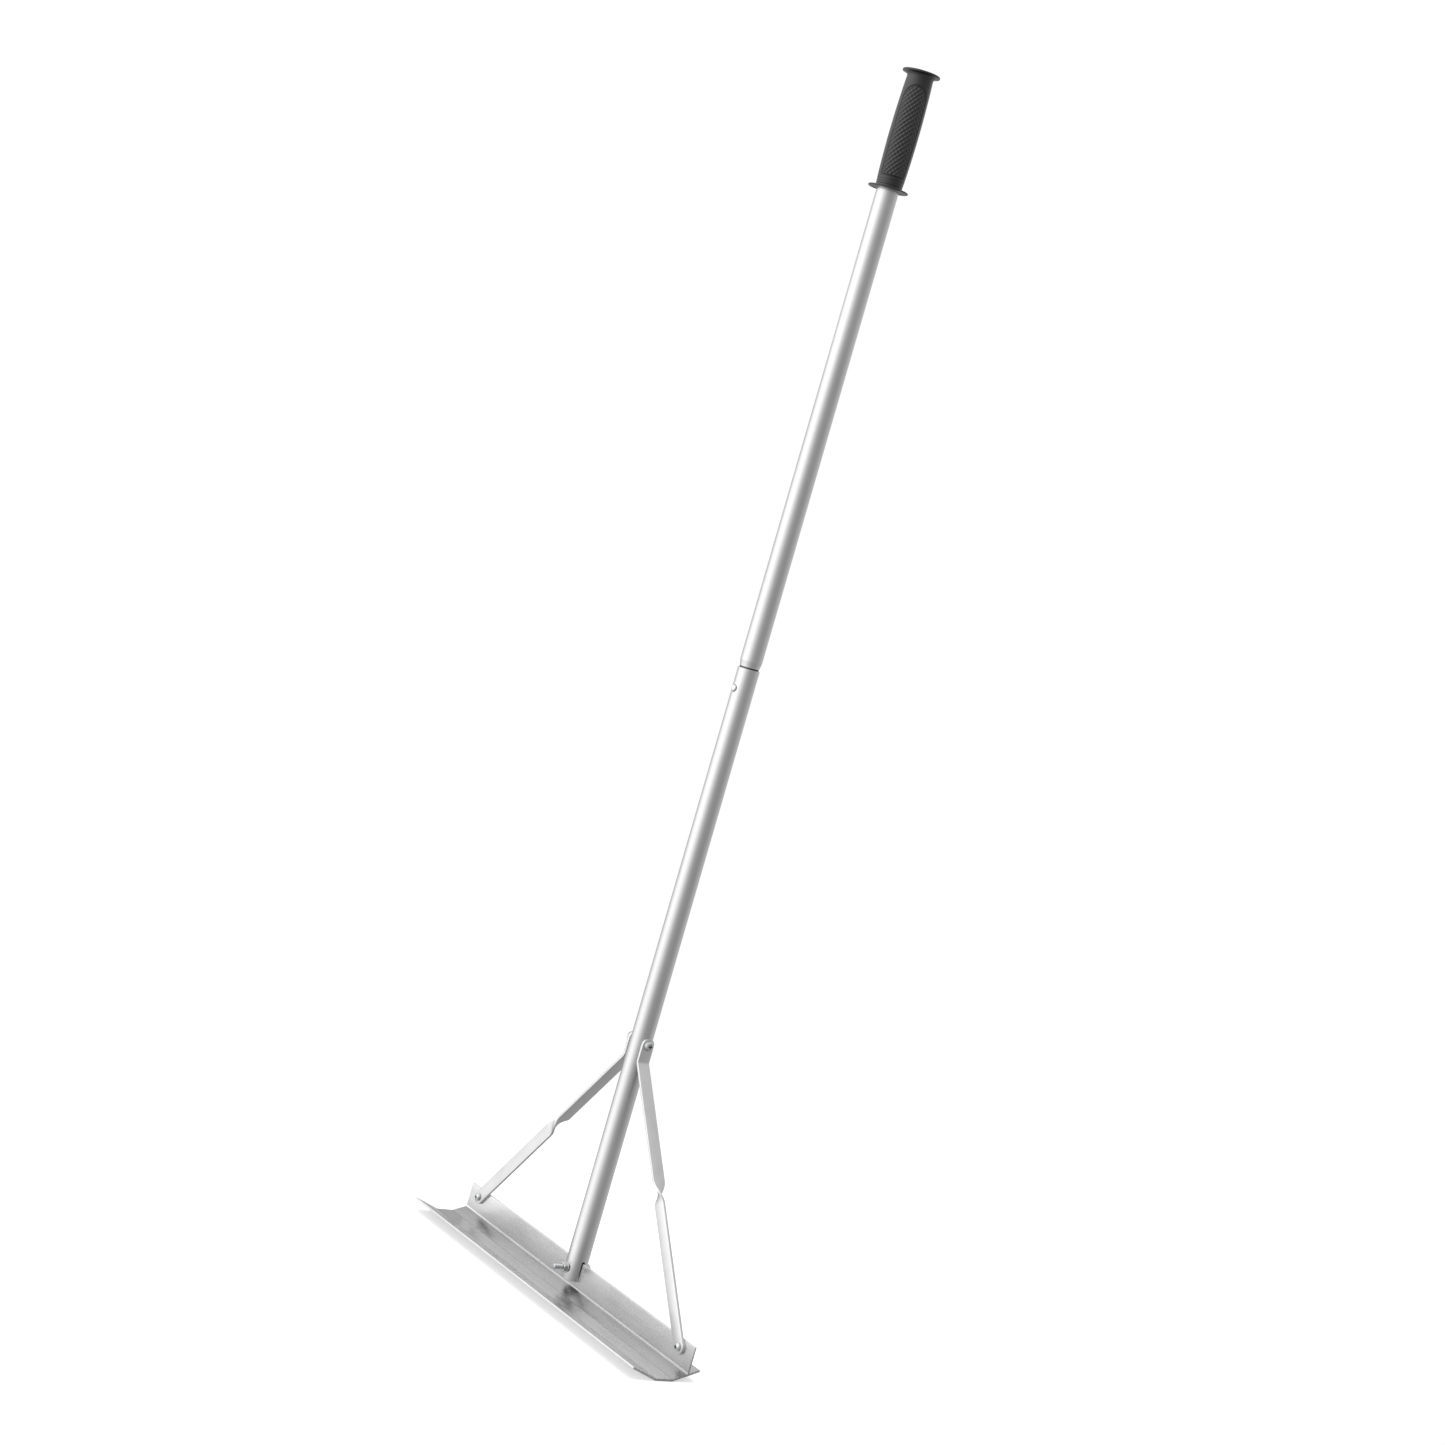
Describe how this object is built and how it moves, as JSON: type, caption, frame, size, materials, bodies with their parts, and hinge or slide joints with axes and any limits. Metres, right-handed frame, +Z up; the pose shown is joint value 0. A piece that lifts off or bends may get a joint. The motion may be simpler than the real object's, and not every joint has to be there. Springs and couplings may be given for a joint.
{
  "type": "concrete placer",
  "caption": "Long-handled concrete placer with a trough blade, an upright rib, two twisted flat-bar braces and a two-section tube handle with a snap button and a rubber grip.",
  "frame": {"origin": "centre of the blade's flat sole, on the ground", "axes": "+Z up along the handle, +X along the blade, -Y to the front, where the snap button and the foot bolt's thread are"},
  "size_m": [0.4952, 0.0978, 1.435],
  "materials": {
    "blade_aluminium": "mill extruded, lightly brushed",
    "tube_aluminium": "satin anodised",
    "brace_aluminium": "satin",
    "zinc_fastener": "bright zinc plated",
    "button_steel": "bright stainless",
    "spring_steel": "spring strip",
    "grip_rubber": "matt moulded"
  },
  "bodies": {
    "tool_head": {"blade": "blade_aluminium", "lower_tube": "tube_aluminium", "brace_left": "brace_aluminium", "brace_right": "brace_aluminium", "foot_bolt": "zinc_fastener", "foot_nut": "zinc_fastener", "foot_washer_front": "zinc_fastener", "foot_washer_rear": "zinc_fastener", "cross_screw": "zinc_fastener", "cross_nut": "zinc_fastener", "cross_washer_left": "zinc_fastener", "cross_washer_right": "zinc_fastener", "brace_screw_left": "zinc_fastener", "brace_screw_right": "zinc_fastener", "brace_washer_left": "zinc_fastener", "brace_washer_right": "zinc_fastener", "brace_nut_left": "zinc_fastener", "brace_nut_right": "zinc_fastener"},
    "upper_handle": {"upper_tube": "tube_aluminium", "grip": "grip_rubber", "snap_spring_base": "spring_steel"},
    "button": {"snap_button": "button_steel", "snap_spring_leaf": "spring_steel"}
  },
  "joints": [
    {"name": "handle_pull", "type": "slide", "parent": "tool_head", "child": "upper_handle", "axis": [0, 0, 1], "range_m": [0, 0.08], "deforming": ["snap_button", "snap_spring_leaf"]},
    {"name": "button_press", "type": "hinge", "parent": "upper_handle", "child": "button", "pos_m": [0, 0.025, 0.7651], "axis": [1, 0, 0], "range_deg": [0, 6], "stiffness_Nm_per_rad": 1.2, "springref_deg": -5.73}
  ]
}
